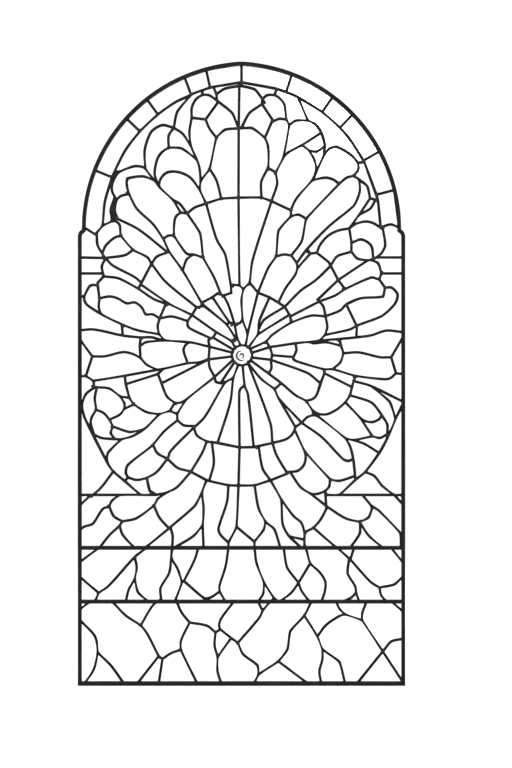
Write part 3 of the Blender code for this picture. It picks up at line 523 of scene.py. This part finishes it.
def solder(panel, places, side, metal):
    """A low blob of solder on each joint."""
    shape = bmesh.new()
    for place in places:
        rows = [(ring, -side * (CAME_FRONT + height)) for ring, height in blob(place)]
        rings = add_rows(shape, rows)
        shape.faces.new(rings[0])
        shape.faces.new(rings[-1])
    finished(shape, f"solder_{SIDES[side]}_{panel}", metal)


def add_pane(shape, tone, opening):
    """Adds an opening's pane, a little out of true, with its own tone."""
    loop = moved_out(opening, PANE_UNDER_LEAD)
    middle = middle_of(loop)
    reach = max((p - middle).length for p in loop)
    lean = min(PANE_TILT, PANE_LIFT / reach)
    across = random.uniform(-lean, lean)
    up = random.uniform(-lean, lean)
    value = random.random()
    rings = []
    for side in (-1, 1):
        ring = []
        for p in loop:
            depth = side * PANE_HALF + (p.x - middle.x) * across + (p.y - middle.y) * up
            vert = shape.verts.new((p.x, depth, p.y))
            vert[tone] = value
            ring.append(vert)
        shape.faces.new(ring)
        rings.append(ring)
    bridge(shape, rings)


def panes(panel, openings, glass):
    """A pane of its own in each opening."""
    shape = bmesh.new()
    tone = shape.verts.layers.float.new("tone")
    for opening in openings:
        add_pane(shape, tone, opening)
    bmesh.ops.triangulate(shape, faces=[f for f in shape.faces if len(f.verts) > 4])
    finished(shape, "panes_" + panel, glass, ["glass_" + panel])


def rounded(profile):
    """A profile's points with every corner rounded, in (inset, depth)."""
    made = []
    for before, point, after in threes([Vector(p) for p in profile]):
        cut = min(EDGE_ROUND, (before - point).length * EDGE_SHARE, (after - point).length * EDGE_SHARE)
        first = point + (before - point).normalized() * cut
        last = point + (after - point).normalized() * cut
        for step in range(ROUND_STEPS + 1):
            t = step / ROUND_STEPS
            made.append((1 - t) ** 2 * first + 2 * t * (1 - t) * point + t**2 * last)
    return made


def perimeter_frame(metal):
    """The frame: its grooved section carried round the outline."""
    outer, inner = face_loops("perimeter_frame")[:2]
    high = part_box("perimeter_frame")[1]
    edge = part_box("came_leading_rose")[1].x
    face = high.x - max(p.x for p in inner)
    web = high.x - edge - GROOVE_ROOM
    groove = CAME_FRONT + GROOVE_ROOM
    front = [(0, -high.y), (face, -high.y), (face, -groove), (web, -groove)]
    section = front + [(inset, -depth) for inset, depth in reversed(front)]
    outline = smooth_loop(outer, frame_corners(outer), fillet=0)
    shape = bmesh.new()
    add_rows(shape, [(moved_out(outline, -p.x), p.y) for p in rounded(section)], closed=True)
    finished(shape, "frame", metal, ["perimeter_frame"])


def division_bar(name, metal):
    """A bar between two panels, an H in section with rounded edges."""
    low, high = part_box(name)
    middle, tall = (low.z + high.z) / 2, (high.z - low.z) / 2
    groove = CAME_FRONT + GROOVE_ROOM
    quarter = [(tall, -high.y), (tall, -groove), (BAR_WEB_HALF, -groove)]
    upper = quarter + [(z, -y) for z, y in reversed(quarter)]
    section = rounded(upper + [(-z, y) for z, y in reversed(upper)])
    shape = bmesh.new()
    rings = [[shape.verts.new((x, p.y, middle + p.x)) for p in section] for x in (low.x, high.x)]
    bridge(shape, rings)
    for ring in rings:
        shape.faces.new(ring)
    finished(shape, "bar_" + name.split("_")[-1], metal, [name])


def ribbon(points, widest):
    """The outline of a brush stroke along a line of points, thin at its ends."""
    left, right = [], []
    last = len(points) - 1
    for i, point in enumerate(points):
        along = (points[min(i + 1, last)] - points[max(i - 1, 0)]).normalized()
        share = STROKE_END + (1 - STROKE_END) * math.sin(math.pi * i / last)
        square = Vector((-along.y, along.x)) * share * widest / 2
        left.append(point + square)
        right.append(point - square)
    return right + left[::-1]


def rondel_curl(middle, paint):
    """The mark left in the middle of the spun round pane: a hook inside a wider one, in fired paint."""
    shape = bmesh.new()
    front, back = -PANE_HALF - PAINT_THICK, -PANE_HALF + PAINT_THICK / 2
    for radii, start, turn, width in CURL_STROKES:
        line = []
        for step in range(CURL_STEPS + 1):
            share = step / CURL_STEPS
            angle = math.radians(start + turn * share)
            radius = radii[0] + (radii[1] - radii[0]) * share
            line.append(middle + Vector((math.cos(angle), math.sin(angle))) * radius)
        outline = ribbon(line, width)
        filled_face(shape, [outline], front)
        filled_face(shape, [outline], back)
        add_rows(shape, [(outline, front), (outline, back)])
    finished(shape, "rondel_curl", paint)


def roundness(loop):
    """How near an outline is to a circle, which has 1."""
    length = sum((a - b).length for a, b in edges(loop))
    return 4 * math.pi * area(loop) / length**2


def rondel_middle(openings):
    """The middle of the round pane: the roundest large opening near the rose's centre line."""
    near = [loop for loop in openings if abs(middle_of(loop).x) < HUB_REACH and area(loop) > HUB_AREA]
    return middle_of(max(near, key=roundness))


def window():
    """Every piece of the window."""
    lead, tin, metal = metals()
    paint, _ = material("fired_trace_paint", (0.02, 0.018, 0.017), roughness=0.7)
    glass = clear_glass()
    for panel in PANELS:
        edge, *openings = face_loops("came_leading_" + panel)
        places = joints(openings)
        smooth = [smooth_loop(loop, opening_corners(loop, places), FILLET) for loop in openings]
        for side in SIDES:
            came_faces(panel, edge, smooth, side, lead)
            solder(panel, places, side, tin)
        panes(panel, smooth, glass)
        if panel == "rose":
            rondel_curl(rondel_middle(openings), paint)
    perimeter_frame(metal)
    for name in ("division_bar_lower", "division_bar_upper"):
        division_bar(name, metal)


def area_light(name, place, target, size, power):
    """A square area light that faces a point."""
    light = bpy.data.lights.new(name, "AREA")
    light.size = size
    light.energy = power
    lamp = bpy.data.objects.new(name, light)
    bpy.context.scene.collection.objects.link(lamp)
    lamp.location = place
    lamp.rotation_euler = (Vector(target) - Vector(place)).to_track_quat("-Z", "Y").to_euler()


def drawing_camera():
    """A camera that sees the window as large and in the same place as in the drawing."""
    camera = bpy.data.cameras.new("camera")
    camera.lens = LENS
    camera.sensor_fit = "VERTICAL"
    camera.sensor_height = SENSOR
    camera.clip_end = VIEW_END
    eye = bpy.data.objects.new("camera", camera)
    bpy.context.scene.collection.objects.link(eye)
    eye.location = (VIEW_X, -PICTURE_HIGH * LENS / SENSOR, VIEW_Z)
    eye.rotation_euler = (math.radians(90), 0, 0)
    bpy.context.scene.camera = eye


def studio():
    """A pale floor, a pale sky, soft light and the camera."""
    floor_material, _ = material("pale_floor", (0.9, 0.9, 0.9), roughness=0.8)
    bpy.ops.mesh.primitive_plane_add(size=FLOOR_SIZE, location=(0, 0, -FLOOR_DROP))
    floor = bpy.context.object
    floor.name = "floor"
    floor.data.materials.append(floor_material)
    scene = bpy.context.scene
    scene.world = bpy.data.worlds.new("pale_sky")
    scene.world.use_nodes = True
    sky = scene.world.node_tree.nodes["Background"]
    sky.inputs["Color"].default_value = (1, 1, 1, 1)
    sky.inputs["Strength"].default_value = SKY_STRENGTH
    scene.view_settings.view_transform = "Standard"
    for light in LIGHTS:
        area_light(*light)
    drawing_camera()


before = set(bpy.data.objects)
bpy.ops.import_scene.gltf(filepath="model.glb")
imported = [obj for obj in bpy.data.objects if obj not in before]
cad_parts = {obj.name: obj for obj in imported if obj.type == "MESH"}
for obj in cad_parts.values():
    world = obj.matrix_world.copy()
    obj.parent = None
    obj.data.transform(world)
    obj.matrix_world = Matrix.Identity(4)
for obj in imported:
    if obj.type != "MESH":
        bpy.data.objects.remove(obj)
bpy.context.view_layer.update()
random.seed(SEED)
studio()
window()
